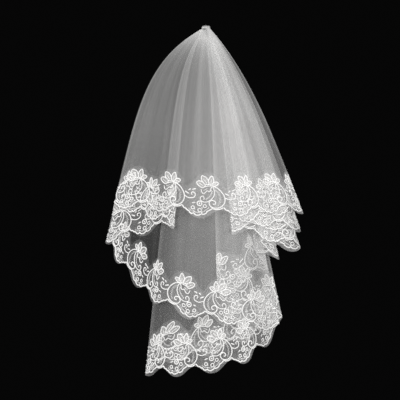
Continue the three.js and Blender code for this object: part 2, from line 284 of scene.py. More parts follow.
# Softened edges of the comb: their width in metres, and the facets across them
COMB_EDGE = 0.0004
COMB_EDGE_FACETS = 2

# Sheer net: width of a cell in metres, where between its middle at 0 and its side at 0.5 the thread
# begins and is full, how dense open cells and threads are, how much that varies, and the colours.
# The drawn net is the same net in the tight pleats of the gathered top.
NET_CELL = 0.0014
NET_THREAD = (0.36, 0.44)
NET_DENSITY = (0.085, 0.125)
NET_UNEVEN = (0.8, 1.2)
NET_CLOUDS = 9.0
NET_COLOR = (0.43, 0.428, 0.424)
NET_SHADE = 0.94
NET_ROUGHNESS = 0.7
NET_SHEEN = 0.15
DRAWN_DENSITY = (0.5, 0.9)
DRAWN_COLOR = (0.5, 0.498, 0.494)

# Streaks along the rays: how often round the gather and outwards from it, and how strong. The noise
# behind them lies mostly in a narrower range, which is spread out.
STREAKS = [((26, 1.6, 1), 0.3), ((95, 2.4, 1), 0.12)]
NOISE_RANGE = (0.3, 0.7)

# Doubled net of the border
GROUND_CLOUDS = 160.0
GROUND_RANGE = (0.35, 0.65)
GROUND_DENSITY = (0.08, 0.13)
GROUND_COLORS = [(0.5, 0.498, 0.494), (0.56, 0.558, 0.554)]

# Satin-stitched thread, and the sparse stitches that fill a petal
SATIN_STITCHES = 0.5
SATIN_BEND = 1.2
SATIN_RELIEF = 0.0003
SATIN_RELIEF_STRENGTH = 0.35
SATIN_COLOR = (0.9, 0.895, 0.885)
# Painted shade in the grooves between the satin stitches: the share of the thread's colour left
# there
SATIN_SHADE = 0.9
SATIN_ROUGHNESS = 0.5
SATIN_SHEEN = 0.25
PETAL_STITCHES = 0.32
PETAL_BEND = 2.0
PETAL_RANGE = (0.3, 0.8)
PETAL_DENSITY = (0.1, 0.4)
PETAL_COLORS = [(0.8, 0.79, 0.77), (0.9, 0.89, 0.87)]
PETAL_ROUGHNESS = 0.6

# Ivory plastic
PLASTIC_CLOUDS = 90.0
PLASTIC_COLORS = [(0.84, 0.81, 0.75), (0.9, 0.88, 0.83)]
PLASTIC_GLOSS = (0.25, 0.4)

# Studio, in metres. The last value is how many sheer layers the light can pass.
VIEW_WIDTH = 1.10
VIEW_MIDDLE = (-0.014, -0.07, -0.476)
CAMERA_DISTANCE = 6
SENSOR_WIDTH = 36
FLOOR_LEVEL = -1.45
FLOOR_RADIUS = 1.4
FLOOR_SIDES = 96
FLOOR_COLOR = (0.62, 0.61, 0.6)
FLOOR_ROUGHNESS = 0.8
SURROUNDINGS = (0.002, 0.002, 0.002)
# name, place, size, power
LIGHTS = [
    ("key", (-1.5, -2.6, 0.7), 1.8, 98),
    ("fill", (1.9, -2.4, 0.1), 2.0, 62),
    ("back", (0.3, 2.2, 0.9), 1.6, 60),
]
MOST_LAYERS = 64


def lerp(low, high, share):
    return low + (high - low) * share


def smooth(value, low, high):
    share = np.clip((value - low) / (high - low), 0, 1)
    return share * share * (3 - 2 * share)


def spread(drop, side):
    """How far apart the rays are, with side 0 at the left shoulder and 1 at the right."""
    push = lerp(*SHOULDER_PUSH, side)
    reach = lerp(*SHOULDER_REACH, side)
    return NECK_SPREAD + drop + push * (1 - np.exp(-drop / reach))


def ray_x(ray, drop):
    return ray * spread(drop, smooth(ray, *PUSH_CHANGES))


def ray_through(x, drop):
    """The ray that passes a given place on the hem, found by halving."""
    low, high = -RAY_LIMIT, RAY_LIMIT
    for _ in range(RAY_HALVINGS):
        middle = (low + high) / 2
        if ray_x(middle, drop) < x:
            low = middle
        else:
            high = middle
    return (low + high) / 2


def ray_at(x, drop):
    """The ray near a place, along which the waves and the room between layers are led."""
    between_sides = 0.5
    side = smooth(x / spread(drop, between_sides), *PUSH_CHANGES)
    return x / spread(drop, side)


def layer_spacing(x, drop):
    apart = np.abs(ray_at(x, drop) - CLOSEST_RAY)
    at_hem = lerp(*HEM_SPACING, smooth(apart, 0, CLOSE_RAY_WIDTH))
    return lerp(TIGHT_SPACING, at_hem, np.minimum(1, drop / FULL_SPACING_DROP))


def back_depth(x, drop):
    """Depth of the wearer's side of the stack, with the waves that all layers share."""
    bulge = -BACK_BULGE * smooth(drop, 0, BACK_BULGE_END)
    lean = -HANG_LEAN * drop / LONGEST_DROP
    rounding = np.hypot(FLANK_SLOPE * x, BACK_ROUNDNESS) - BACK_ROUNDNESS
    phase = 2 * math.pi * ray_at(x, drop) / WAVE_PITCH
    waves = np.sin(phase + WAVE_START) + SLOW_WAVE_SHARE * np.sin(SLOW_WAVE_RATE * phase)
    bend = RIPPLE_BEND * np.sin(RIPPLE_BEND_RATE * phase)
    ripples = np.sin(RIPPLE_RATE * phase + bend + drop / RIPPLE_DRIFT)
    height = (WAVE_HEIGHT * waves + RIPPLE_HEIGHT * ripples) * drop / WAVE_HEIGHT_DROP
    return bulge + lean + rounding + height


def hermite(values, index, share):
    """Smooth value between one row of the table and the next."""
    before, here, after, beyond = (values[(index + k) % len(values)] for k in (-1, 0, 1, 2))
    slope_in = (after - before) / 2
    slope_out = (beyond - here) / 2
    s2 = share * share
    s3 = s2 * share
    return (
        (2 * s3 - 3 * s2 + 1) * here
        + (s3 - 2 * s2 + share) * slope_in
        + (3 * s2 - 2 * s3) * after
        + (s3 - s2) * slope_out
    )


def nearest_fold(index, step):
    while HEM[index].turn == 0:
        index = (index + step) % len(HEM)
    return index


def rays_between(start, end, with_start):
    low = math.ceil(min(start, end) / RAY_STEP + RAY_MARGIN)
    high = math.floor(max(start, end) / RAY_STEP - RAY_MARGIN)
    rays = [count * RAY_STEP for count in range(low, high + 1)]
    if end < start:
        rays.reverse()
    return [start] * with_start + rays


def make_columns():
    """Columns of the sheet once round the hem, and the one that stands for each row of the table.

    Each column is a ray between two folds, or a part of the turn round a fold.
    """
    row_rays = [ray_through(row.x, row.drop) for row in HEM]
    drops = [row.drop for row in HEM]
    found, marks = [], []
    for index, row in enumerate(HEM):
        marks.append(len(found) + (FOLD_STEPS // 2 if row.turn else 0))
        after = (index + 1) % len(HEM)
        heading = math.copysign(1, row_rays[after] - row_rays[index])
        if row.turn:
            for step in range(FOLD_STEPS + 1):
                angle = math.pi * (step / FOLD_STEPS - 0.5)
                layer = row.layer + row.turn / 2 * math.sin(angle)
                turning = (1, -heading, math.cos(angle))
                found.append((0, index, index, heading, layer, row.drop, *turning))
        start, end = nearest_fold(index, -1), nearest_fold(after, 1)
        layers = (row.layer + row.turn / 2, HEM[after].layer - HEM[after].turn / 2)
        for ray in rays_between(row_rays[index], row_rays[after], not row.turn):
            share = (ray - row_rays[index]) / (row_rays[after] - row_rays[index])
            layer = lerp(*layers, smooth(share, 0, 1))
            drop = hermite(drops, index, share)
            found.append((ray, start, end, heading, layer, drop, 0, 0, 0))
    names = ("ray", "start", "end", "heading", "layer", "drop", "turning", "side", "cosine")
    columns = dict(zip(names, np.array(found).T[:, :, None]))
    for end in ("start", "end"):
        rows = columns[end].astype(int)
        columns[end + "_ray"] = np.array(row_rays)[rows]
        columns[end + "_turn"] = np.array([row.turn for row in HEM])[rows]
    return columns, marks


def sheet_points(columns, drop):
    """Points of the sheet for each column, at one row of drops for each, in millimetres."""
    ends = []
    for end in ("start", "end"):
        x = ray_x(columns[end + "_ray"], drop)
        layers = np.minimum(np.abs(columns[end + "_turn"]) / 2, WIDEST_TURN)
        roundness = lerp(TIGHTEST_TURN, 1, np.minimum(1, drop / ROUND_TURN_DROP))
        ends.append((x, layers * roundness * layer_spacing(x, drop)))
    (start, start_radius), (end, end_radius) = ends
    heading, side = columns["heading"], columns["side"]
    reach = np.where(columns["turning"] > 0, 1, end - start)
    share = (ray_x(columns["ray"], drop) - start) / reach
    between = lerp(
        start + heading * start_radius,
        end - heading * end_radius,
        share,
    )
    turning = start - side * start_radius * (1 - columns["cosine"])
    x = np.where(columns["turning"] > 0, turning, between)
    spacing = layer_spacing(x, drop)
    flutter = np.sin(2 * math.pi * x / FLUTTER_LENGTH + FLUTTER_TURN * columns["layer"])
    flutter = FLUTTER_SHARE * flutter * np.minimum(1, drop / FULL_SPACING_DROP)
    y = back_depth(x, drop) - (columns["layer"] + flutter) * spacing
    return np.stack([x, y, -drop + 0 * x], axis=-1)


def blurred(values, places, total, width):
    """Values along the closed hem, each averaged with its neighbours."""
    apart = np.abs(places[:, None] - places[None, :])
    apart = np.minimum(apart, total - apart)
    weights = np.exp(-0.5 * (apart / width) ** 2)
    gaps = (np.roll(places, -1) - np.roll(places, 1)) % total
    weights = weights * gaps[None, :]
    return weights @ values / weights.sum(axis=1)


def edge_profile(count):
    """Rounded scallops, 0 at their lowest and 1 at the notches, which are narrower."""
    wave = (1 - np.cos(2 * math.pi * count)) / 2
    return wave ** NOTCH_SHARPNESS


class Sheet:
    """The folded sheet with its hem measured out, so that places along the hem can be found."""

    def __init__(self):
        self.columns, marks = make_columns()
        drop = self.columns["drop"]
        hem = sheet_points(self.columns, drop)[:, 0]
        steps = np.linalg.norm(np.roll(hem, -1, axis=0) - hem, axis=1)
        self.along = np.concatenate([[0], np.cumsum(steps)[:-1]])
        self.length = steps.sum()
        self.even = REPEATS * self.along / self.length
        self.counts = self.repeat_counts(marks)
        self.crease = self.crease_shares(marks)
        self.covered = self.covered_shares()
        self.pleats = self.pleat_density()
        above = sheet_points(self.columns, drop - RISE_SPAN)[:, 0]
        rise = above - hem
        rise_length = np.linalg.norm(rise, axis=1)
        self.fall = RISE_SPAN / rise_length
        tangent = np.roll(hem, -1, axis=0) - np.roll(hem, 1, axis=0)
        tangent /= np.linalg.norm(tangent, axis=1)[:, None]
        tilt = (tangent * rise).sum(axis=1) / rise_length
        on_right = (self.counts > RIGHT_FOLDS[0]) & (self.counts < RIGHT_FOLDS[1])
        tilt = tilt * np.where(on_right, RIGHT_TILT_SHARE, TILT_SHARE)
        self.tilt = blurred(tilt, self.along, self.length, TILT_BLUR)
        self.fall = blurred(self.fall, self.along, self.length, TILT_BLUR)
        self.grid = self.border_grid()

    def repeat_counts(self, marks):
        """Number of repeats up to each column, led smoothly through the counts in the table."""
        counts = [row.repeats for row in HEM]
        counts.append(counts[0] + REPEATS)
        led = np.interp(self.along, np.append(self.along[marks], self.length), counts)
        return self.even + blurred(led - self.even, self.along, self.length, COUNT_BLUR)

    def crease_shares(self, marks):
        """1 where the sheet turns round a fold, and 0 away from it."""
        folds = self.along[[mark for mark, row in zip(marks, HEM) if row.turn]]
        apart = np.abs(self.along[:, None] - folds[None, :])
        apart = np.minimum(apart, self.length - apart).min(axis=1)
        return np.exp(-((apart / CREASE_WIDTH) ** 2))

    def pleat_density(self):
        """How much denser each column's net is for its fine pleats, and in its creases."""
        rays = self.columns["ray"] + self.columns["turning"] * self.columns["start_ray"]
        return np.interp(rays[:, 0], *zip(*FULLNESS)) * (1 + self.crease)

    def covered_shares(self):
        """How deep each column's hem lies behind other layers, from 0 in front towards 1."""
        columns = self.columns
        ray = (columns["ray"] + columns["turning"] * columns["start_ray"])[:, 0]
        layer = columns["layer"][:, 0]
        drop = columns["drop"][:, 0]
        next_ray = np.roll(ray, -1)
        next_layer = np.roll(layer, -1)
        crosses = (ray - ray[:, None]) * (next_ray - ray[:, None]) < 0
        in_front = (layer + next_layer) / 2 > layer[:, None] + COVER_LAYERS
        hangs_past = drop > drop[:, None] - COVER_MARGIN
        layers = (crosses & in_front & hangs_past).sum(axis=1)
        # Painted shade: each layer in front lets only a share of the light through to the cord
        covered = 1 - COVERED_LIGHT ** layers
        return blurred(covered, self.along, self.length, TILT_BLUR)

    def border_grid(self):
        self.heights = np.linspace(-EDGE_DEPTH, BORDER_HEIGHT, BORDER_ROWS)
        drop = self.columns["drop"] - self.heights[None, :] * self.fall[:, None]
        return sheet_points(self.columns, drop)

    def edge_height(self):
        """Height of the scalloped cut edge above its lowest line, up each column."""
        height = 0 * self.along
        for _ in range(EDGE_SETTLING):
            square_on = self.along + height * self.tilt
            counts = self.interpolated(self.counts - self.even, square_on)
            counts = counts + REPEATS * square_on / self.length
            scallop = EDGE_RAISE + EDGE_DEPTH * edge_profile(counts)
            height = scallop / np.sqrt(1 - self.tilt**2)
        return height

    def place_along(self, repeat, along):
        """Place along the hem of a point of the chart, in one of the repeats."""
        count = repeat + (along - EDGE_LOWEST) / REPEAT
        count = self.counts[0] + (count - self.counts[0]) % REPEATS
        ends = np.append(self.counts, self.counts[0] + REPEATS)
        return np.interp(count, ends, np.append(self.along, self.length))

    def interpolated(self, values, along):
        places = np.append(self.along, self.length)
        return np.interp(along % self.length, places, np.append(values, values[0]))

    def border_points(self, along, above):
        """Places on the sheet's surface, from places along the hem and above it."""
        tilt = self.interpolated(self.tilt, along)
        height = above / np.sqrt(1 - tilt**2)
        shifted = (along - height * tilt) % self.length
        index = np.arange(len(self.along) + 1)
        column = np.interp(shifted, np.append(self.along, self.length), index)
        row = (height - self.heights[0]) / (self.heights[1] - self.heights[0])
        row = np.clip(row, 0, len(self.heights) - 1 - BORDER_MARGIN)
        left, below = np.floor(column).astype(int), np.floor(row).astype(int)
        column_share, row_share = (column - left)[:, None], (row - below)[:, None]
        left %= len(self.along)
        right = (left + 1) % len(self.along)
        low = lerp(self.grid[left, below], self.grid[right, below], column_share)
        high = lerp(self.grid[left, below + 1], self.grid[right, below + 1], column_share)
        point = lerp(low, high, row_share)
        across = self.grid[(right + 1) % len(self.along), below] - self.grid[left - 1, below]
        normal = np.cross(across, high - low)
        return point, normal / np.linalg.norm(normal, axis=1)[:, None]


def add_map(mesh, name, places):
    corners = np.zeros(len(mesh.loops), np.int32)
    mesh.loops.foreach_get("vertex_index", corners)
    layer = mesh.uv_layers.new(name=name)
    layer.data.foreach_set("uv", np.asarray(places, np.float32)[corners].ravel())


def add_values(mesh, name, values):
    layer = mesh.attributes.new(name, "FLOAT", "POINT")
    layer.data.foreach_set("value", np.asarray(values, np.float32))


def mesh_piece(name, points, faces, replaced, uv):
    """A smooth mesh piece from points in millimetres, riding on the one body."""
    mesh = bpy.data.meshes.new(name)
    mesh.from_pydata((np.asarray(points) * MM).tolist(), [], faces)
    mesh.polygons.foreach_set("use_smooth", [True] * len(mesh.polygons))
    add_map(mesh, "flat", uv)
    mesh.update()
    piece = bpy.data.objects.new(name, mesh)
    bpy.context.collection.objects.link(piece)
    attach(piece, "root")
    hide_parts(replaced)
    return piece


def grid_faces(index):
    """Quads of a grid of point numbers that closes on itself along its first side."""
    after = np.roll(index, -1, axis=0)
    quads = [index[:, :-1], after[:, :-1], after[:, 1:], index[:, 1:]]
    return np.stack(quads, axis=-1).reshape(-1, 4).tolist()


def make_net(sheet):
    """The whole sheet of net, from the gathered top to its scalloped edge."""
    edge = sheet.edge_height() * sheet.fall
    end = sheet.columns["drop"][:, 0] - edge
    shares = np.linspace(0, 1, SHEET_ROWS) ** ROW_CROWDING
    drop = end[:, None] * shares[None, :]
    points = sheet_points(sheet.columns, drop)
    faces = grid_faces(np.arange(len(points) * SHEET_ROWS).reshape(-1, SHEET_ROWS))
    reach = drop / sheet.fall[:, None] * MM
    hem_reach = sheet.columns["drop"][:, 0] / sheet.fall * MM
    gaps = np.diff(np.append(sheet.along, sheet.length)) * MM
    turn = np.concatenate([[0], np.cumsum(gaps * np.sqrt(1 - sheet.tilt**2) / hem_reach)[:-1]])
    uv = np.stack([reach * np.cos(turn)[:, None], reach * np.sin(turn)[:, None]], axis=-1)
    net = mesh_piece("veil_net", points.reshape(-1, 3), faces, "tulle", uv.reshape(-1, 2))
    rays = np.stack(np.broadcast_arrays(turn[:, None], reach), axis=-1).reshape(-1, 2)
    add_map(net.data, "rays", rays)
    gathered = 1 + GATHER_FULLNESS * np.exp(-drop / GATHER_REACH)
    add_values(net.data, "pleats", (sheet.pleats[:, None] * gathered).ravel())
    return net


def length_along(line):
    """Distance from the start of a line to each of its points."""
    steps = np.linalg.norm(np.diff(line, axis=0), axis=1)
    return np.concatenate([[0], np.cumsum(steps)])


def points_along(line, along, places):
    """Points of a flat line at given distances from its start."""
    return np.stack([np.interp(places, along, line[:, k]) for k in (0, 1)], axis=1)


def curve_through(knots, closed):
    """Even points on a smooth curve through a few knots."""
    knots = np.array(knots, float)
    count = len(knots)
    pieces = []
    shares = np.linspace(0, 1, KNOT_STEPS, endpoint=False)[:, None]
    for index in range(count if closed else count - 1):
        if closed:
            p0, p1, p2, p3 = (knots[(index + k) % count] for k in (-1, 0, 1, 2))
        else:
            p0, p1, p2, p3 = (knots[min(max(index + k, 0), count - 1)] for k in (-1, 0, 1, 2))
        bend = 2 * p0 - 5 * p1 + 4 * p2 - p3
        twist = 3 * p1 - p0 - 3 * p2 + p3
        pieces.append(
            0.5 * (2 * p1 + (p2 - p0) * shares + bend * shares**2 + twist * shares**3)
        )
    pieces.append(knots[:1] if closed else knots[-1:])
    line = np.concatenate(pieces)
    along = length_along(line)
    steps = max(FEWEST_CORD_STEPS, round(along[-1] / CORD_STEP))
    even = np.linspace(0, along[-1], steps + 1)
    if closed:
        even = even[:-1]
    return points_along(line, along, even)


class CordMesh:
    """Flattened cords that lie in the sheet, gathered into one mesh."""

    def __init__(self):
        self.points = []
        self.faces = []
        self.uv = []
        self.shade = []
        self.count = 0

    def add(self, line, normals, width, closed, shade):
        ahead = np.roll(line, -1, axis=0) - np.roll(line, 1, axis=0)
        if not closed:
            ahead[0] = line[1] - line[0]
            ahead[-1] = line[-1] - line[-2]
        ahead /= np.linalg.norm(ahead, axis=1)[:, None]
        across = np.cross(normals, ahead)
        across /= np.linalg.norm(across, axis=1)[:, None]
        size = np.full(len(line), width / 2)
        if not closed:
            size[[0, -1]] *= CORD_END
        angles = 2 * math.pi * np.arange(CORD_SIDES) / CORD_SIDES
        ring = (
            line[:, None]
            + across[:, None] * (size[:, None] * np.cos(angles))[..., None]
            + normals[:, None] * (CORD_FLATNESS * size[:, None] * np.sin(angles))[..., None]
        )
        along = length_along(line)
        uv = np.stack(np.broadcast_arrays(along[:, None], angles[None, :]), axis=-1)
        index = self.count + np.arange(ring.shape[0] * CORD_SIDES).reshape(-1, CORD_SIDES)
        here = index if closed else index[:-1]
        there = np.roll(index, -1, axis=0)[: len(here)]
        quads = [here, np.roll(here, -1, axis=1), np.roll(there, -1, axis=1), there]
        self.faces += np.stack(quads, axis=-1).reshape(-1, 4).tolist()
        if not closed:
            self.faces += [index[0][::-1].tolist(), index[-1].tolist()]
        self.points.append(ring.reshape(-1, 3))
        self.uv.append(uv.reshape(-1, 2))
        self.shade.append(np.repeat(shade, CORD_SIDES))
        self.count += ring.shape[0] * CORD_SIDES

    def piece(self, name, slot, replaced):
        points, uv = np.concatenate(self.points), np.concatenate(self.uv)
        piece = mesh_piece(name, points, self.faces, replaced, uv)
        add_values(piece.data, "covered", np.concatenate(self.shade))
        return piece


def zigzag_line(width, knots):
    """A small zigzag that follows a curve, with a corner each half pitch."""
    line = curve_through(knots, False)
    along = length_along(line)
    corners = max(FEWEST_ZIGZAG_STEPS, round(along[-1] / (ZIGZAG_PITCH / 2)))
    middle = points_along(line, along, np.linspace(0, along[-1], corners + 1))
    ahead = np.gradient(middle, axis=0)
    ahead /= np.linalg.norm(ahead, axis=1)[:, None]
    sideways = np.stack([-ahead[:, 1], ahead[:, 0]], axis=1)
    signs = np.where(np.arange(corners + 1) % 2, 1, -1)[:, None]
    return middle + sideways * signs * width / 2


def ring_line(along, above, radius):
    steps = max(FEWEST_RING_STEPS, round(2 * math.pi * radius / CORD_STEP))
    angles = 2 * math.pi * np.arange(steps) / steps
    return np.stack([along + radius * np.cos(angles), above + radius * np.sin(angles)], axis=1)


def motif_lines():
    """All cords of one repeat as piece, width, closed or not, and points."""
    lines = [(piece, width, closed, curve_through(knots, closed))
             for piece, width, closed, knots in MOTIF]
    lines += [("ring_cord", width, True, ring_line(along, above, radius))
              for along, above, radius, width in RINGS]
    lines += [("vein_stitches", ZIGZAG_CORD, False, zigzag_line(width, knots))
              for width, knots in ZIGZAGS]
    return lines


def make_embroidery(sheet):
    """The embroidered cords of every repeat, one piece for each kind of figure."""
    meshes = {}
    for piece, width, closed, line in motif_lines():
        mesh = meshes.setdefault(piece, CordMesh())
        for repeat in range(REPEATS):
            along = sheet.place_along(repeat, line[:, 0])
            points, normals = sheet.border_points(along, line[:, 1])
            # Painted shade of the cords, from how deep they lie behind other layers
            shade = sheet.interpolated(sheet.covered, along)
            mesh.add(points, normals, width, closed, shade)
    return [mesh.piece(name, "lace", "lace_border") for name, mesh in meshes.items()]


def make_ground(sheet):
    """A second thickness of net behind the embroidery, from the cut edge to above the flowers."""
    repeat_steps = round(REPEAT / GROUND_STEP)
    steps = REPEATS * repeat_steps
    chart = np.arange(steps) / repeat_steps * REPEAT
    along = sheet.place_along(0, chart)
    bottom = EDGE_RAISE + GROUND_INSET + EDGE_DEPTH * edge_profile((chart - EDGE_LOWEST) / REPEAT)
    knots, tops = zip(*GROUND_TOP)
    chart = (chart - knots[0]) % REPEAT + knots[0]
    top = np.interp(chart, knots, tops)
    shares = np.linspace(0, 1, GROUND_ROWS)
    above = bottom[:, None] + (top - bottom)[:, None] * shares[None, :]
    place, normal = sheet.border_points(np.repeat(along, GROUND_ROWS), above.ravel())
    faces = grid_faces(np.arange(steps * GROUND_ROWS).reshape(steps, GROUND_ROWS))
    flat = np.stack([np.repeat(along, GROUND_ROWS), above.ravel()], axis=-1) * MM
    ground = mesh_piece("border_ground", place + GROUND_LIFT * normal, faces,
                        "lace_border", flat)
    pleats = sheet.interpolated(sheet.pleats, along)
    add_values(ground.data, "pleats", np.repeat(pleats, GROUND_ROWS))
    return ground


def disc_faces(first, sides, rings):
    """Faces between rings of points, counted from the outermost inwards, and their middle."""
    faces = []
    last = first + (rings - 1) * sides
    for side in range(sides):
        after = (side + 1) % sides
        for low in range(first, last, sides):
            high = low + sides
            faces.append((low + side, low + after, high + after, high + side))
        faces.append((last + side, last + after, last + sides))
    return faces


def make_fills(sheet):
    """Thinly stitched petals, just proud of the net on its outer side."""
    points, faces, uv = [], [], []
    count = 0
    for petal in PETALS:
        outline = curve_through(petal, True)[::2]
        middle = outline.mean(axis=0)
        rings = [lerp(middle, outline, share) for share in FILL_RINGS]
        flat = np.concatenate(rings + [[middle]])
        for repeat in range(REPEATS):
            along = sheet.place_along(repeat, flat[:, 0])
            place, normal = sheet.border_points(along, flat[:, 1])
            points.append(place + FILL_LIFT * normal)
            uv.append(flat)
            faces += disc_faces(count, len(outline), len(rings))
            count += len(flat)
    return mesh_piece("petal_fill", np.concatenate(points), faces, "lace_border",
                      np.concatenate(uv))


def bunch_radius(height, angle):
    """Share of the half sizes of the bunch that its pleats reach."""
    heights, widths = zip(*BUNCH_OUTLINE)
    width = np.interp(height, heights, widths)
    bend = PLEAT_BEND * np.sin(PLEAT_BENDS * angle)
    pleat = np.abs(np.sin(BUNCH_PLEATS / 2 * angle + bend))
    return width * (PLEAT_FOOT + PLEAT_RIDGE * pleat)


def bunch_place(radius, angle):
    x = BUNCH_MIDDLE[0] + BUNCH_HALF[0] * radius * np.cos(angle)
    y = BUNCH_MIDDLE[1] + BUNCH_HALF[1] * radius * np.sin(angle)
    return x, y


def make_bunch():
    """The drawn-up pleats of net, closed over the top of the folds."""
    sides = BUNCH_PLEATS * PLEAT_SIDES
    angles = 2 * math.pi * np.arange(sides) / sides
    heights = np.interp(
        np.linspace(0, 1, BUNCH_ROWS),
        np.linspace(0, 1, len(BUNCH_OUTLINE)),
        [height for height, _ in BUNCH_OUTLINE],
    )
    height, angle = np.meshgrid(heights, angles)
    x, y = bunch_place(bunch_radius(height, angle), angle + BUNCH_TWIST * height)
    points = np.stack([x, y, height], axis=-1)
    index = np.arange(sides * BUNCH_ROWS).reshape(sides, BUNCH_ROWS)
    faces = grid_faces(index)
    faces.append(index[:, -1].tolist())
    uv = np.stack([angle * BUNCH_HALF[0] * MM, height * MM], axis=-1).reshape(-1, 2)
    return mesh_piece("pleated_top", points.reshape(-1, 3), faces, "gathered_top", uv)


def make_thread():
    """Sewing thread wound round the pleats."""
    cords = CordMesh()
    angles = 2 * math.pi * np.arange(THREAD_STEPS) / THREAD_STEPS
    outwards = np.stack([np.cos(angles), np.sin(angles), 0 * angles], axis=1)
    for height in THREAD_HEIGHTS:
        level = height + THREAD_SWAY * np.sin(2 * angles + height)
        x, y = bunch_place(bunch_radius(level, angles) + THREAD_LIFT, angles)
        line = np.stack([x, y, level], axis=1)
        cords.add(line, outwards, THREAD_WIDTH, True, 0 * angles)
    return cords.piece("gathering_thread", "lace", "gathered_top")


def make_comb():
    """The comb with its edges softened."""
    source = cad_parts["hair_comb"]
    piece = bpy.data.objects.new("comb", source.data.copy())
    bpy.context.collection.objects.link(piece)
    bevel = piece.modifiers.new("edges", "BEVEL")
    bevel.width = COMB_EDGE
    bevel.segments = COMB_EDGE_FACETS
    bevel.limit_method = "ANGLE"
    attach(piece, "root")
    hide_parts("hair_comb")
    return piece


def node_of(tree, kind, settings=(), inputs=()):
    """A shader node with its settings, and its inputs set or linked."""
    node = tree.nodes.new(kind)
    for key, value in dict(settings).items():
        setattr(node, key, value)
    for key, value in dict(inputs).items():
        if isinstance(value, bpy.types.NodeSocket):
            tree.links.new(value, node.inputs[key])
        else:
            node.inputs[key].default_value = value
    return node


def math_of(tree, operation, *values):
    node = node_of(tree, "ShaderNodeMath", {"operation": operation}, dict(enumerate(values)))
    return node.outputs[0]


def new_material(name):
    material = bpy.data.materials.new(name)
    material.use_nodes = True
    tree = material.node_tree
    tree.nodes.clear()
    shader = tree.nodes.new("ShaderNodeBsdfPrincipled")
    output = tree.nodes.new("ShaderNodeOutputMaterial")
    tree.links.new(shader.outputs[0], output.inputs[0])
    return material, tree, shader


def hexagon_edge(tree, u, v):
    """Distance from the middle of the nearest hexagon, 0.5 at its sides."""
    offsets = []
    for shift in (0, 0.5):
        x = math_of(tree, "FRACT", math_of(tree, "ADD", u, shift))
        x = math_of(tree, "SUBTRACT", x, 0.5)
        y = math_of(tree, "DIVIDE", v, math.sqrt(3))
        y = math_of(tree, "FRACT", math_of(tree, "ADD", y, shift))
        y = math_of(tree, "MULTIPLY", math_of(tree, "SUBTRACT", y, 0.5), math.sqrt(3))
        x, y = math_of(tree, "ABSOLUTE", x), math_of(tree, "ABSOLUTE", y)
        slanted = math_of(tree, "MULTIPLY", y, math.sqrt(3) / 2)
        slanted = math_of(tree, "ADD", slanted, math_of(tree, "MULTIPLY", x, 0.5))
        offsets.append(math_of(tree, "MAXIMUM", x, slanted))
    return math_of(tree, "MINIMUM", *offsets)


def ranged(tree, value, before, after, kind="LINEAR"):
    """A value moved from one range to another, and kept inside it."""
    inputs = dict(zip(("Value", "From Min", "From Max", "To Min", "To Max"),
                      (value, *before, *after)))
    return node_of(tree, "ShaderNodeMapRange", {"interpolation_type": kind}, inputs).outputs[0]


def noise_at(tree, place, scale, detail=2.0):
    inputs = {"Vector": place, "Scale": scale, "Detail": detail}
    return node_of(tree, "ShaderNodeTexNoise", inputs=inputs).outputs[0]


def mixed(tree, share, first, second):
    """A mix of two colours, or of an output and a colour."""
    colors = [part if isinstance(part, bpy.types.NodeSocket) else (*part, 1)
              for part in (first, second)]
    inputs = dict(zip(("Fac", "Color1", "Color2"), (share, *colors)))
    return node_of(tree, "ShaderNodeMixRGB", inputs=inputs).outputs[0]


def map_of(tree, name):
    return node_of(tree, "ShaderNodeUVMap", {"uv_map": name}).outputs[0]


def value_of(tree, name):
    return node_of(tree, "ShaderNodeAttribute", {"attribute_name": name}).outputs["Fac"]


def shaded(color, share):
    return tuple(share * part for part in color)


def streaks_of(tree):
    """Thicker and thinner streaks that run out from the gathered top, and denser pleats."""
    rays = map_of(tree, "rays")
    tones = []
    for scale, gain in STREAKS:
        mapped = node_of(tree, "ShaderNodeMapping", inputs={"Vector": rays, "Scale": scale})
        noise = noise_at(tree, mapped.outputs[0], 1.0)
        tones.append(ranged(tree, noise, NOISE_RANGE, (1 - gain, 1 + gain)))
    return math_of(tree, "MULTIPLY", math_of(tree, "MULTIPLY", *tones), value_of(tree, "pleats"))


def net_material(name, density, color, streaked):
    """Sheer hexagonal net: threads between open cells, a little uneven over the sheet."""
    material, tree, shader = new_material(name)
    flat = map_of(tree, "flat")
    place = node_of(tree, "ShaderNodeSeparateXYZ", inputs={0: flat})
    u = math_of(tree, "DIVIDE", place.outputs[0], NET_CELL)
    v = math_of(tree, "DIVIDE", place.outputs[1], NET_CELL)
    thread = ranged(tree, hexagon_edge(tree, u, v), NET_THREAD, density, "SMOOTHSTEP")
    cloud = noise_at(tree, flat, NET_CLOUDS)
    alpha = math_of(tree, "MULTIPLY", thread, ranged(tree, cloud, (0, 1), NET_UNEVEN))
    if streaked:
        alpha = math_of(tree, "MULTIPLY", alpha, streaks_of(tree))
    tree.links.new(alpha, shader.inputs["Alpha"])
    tint = mixed(tree, cloud, color, shaded(color, NET_SHADE))
    tree.links.new(tint, shader.inputs["Base Color"])
    shader.inputs["Roughness"].default_value = NET_ROUGHNESS
    shader.inputs["Sheen Weight"].default_value = NET_SHEEN
    return material


def ground_material():
    """The doubled net of the border."""
    material, tree, shader = new_material("border_net")
    cloud = noise_at(tree, map_of(tree, "flat"), GROUND_CLOUDS, 1.0)
    alpha = ranged(tree, cloud, GROUND_RANGE, GROUND_DENSITY)
    alpha = math_of(tree, "MULTIPLY", alpha, value_of(tree, "pleats"))
    tree.links.new(alpha, shader.inputs["Alpha"])
    tree.links.new(mixed(tree, cloud, *GROUND_COLORS), shader.inputs["Base Color"])
    shader.inputs["Roughness"].default_value = NET_ROUGHNESS
    return material


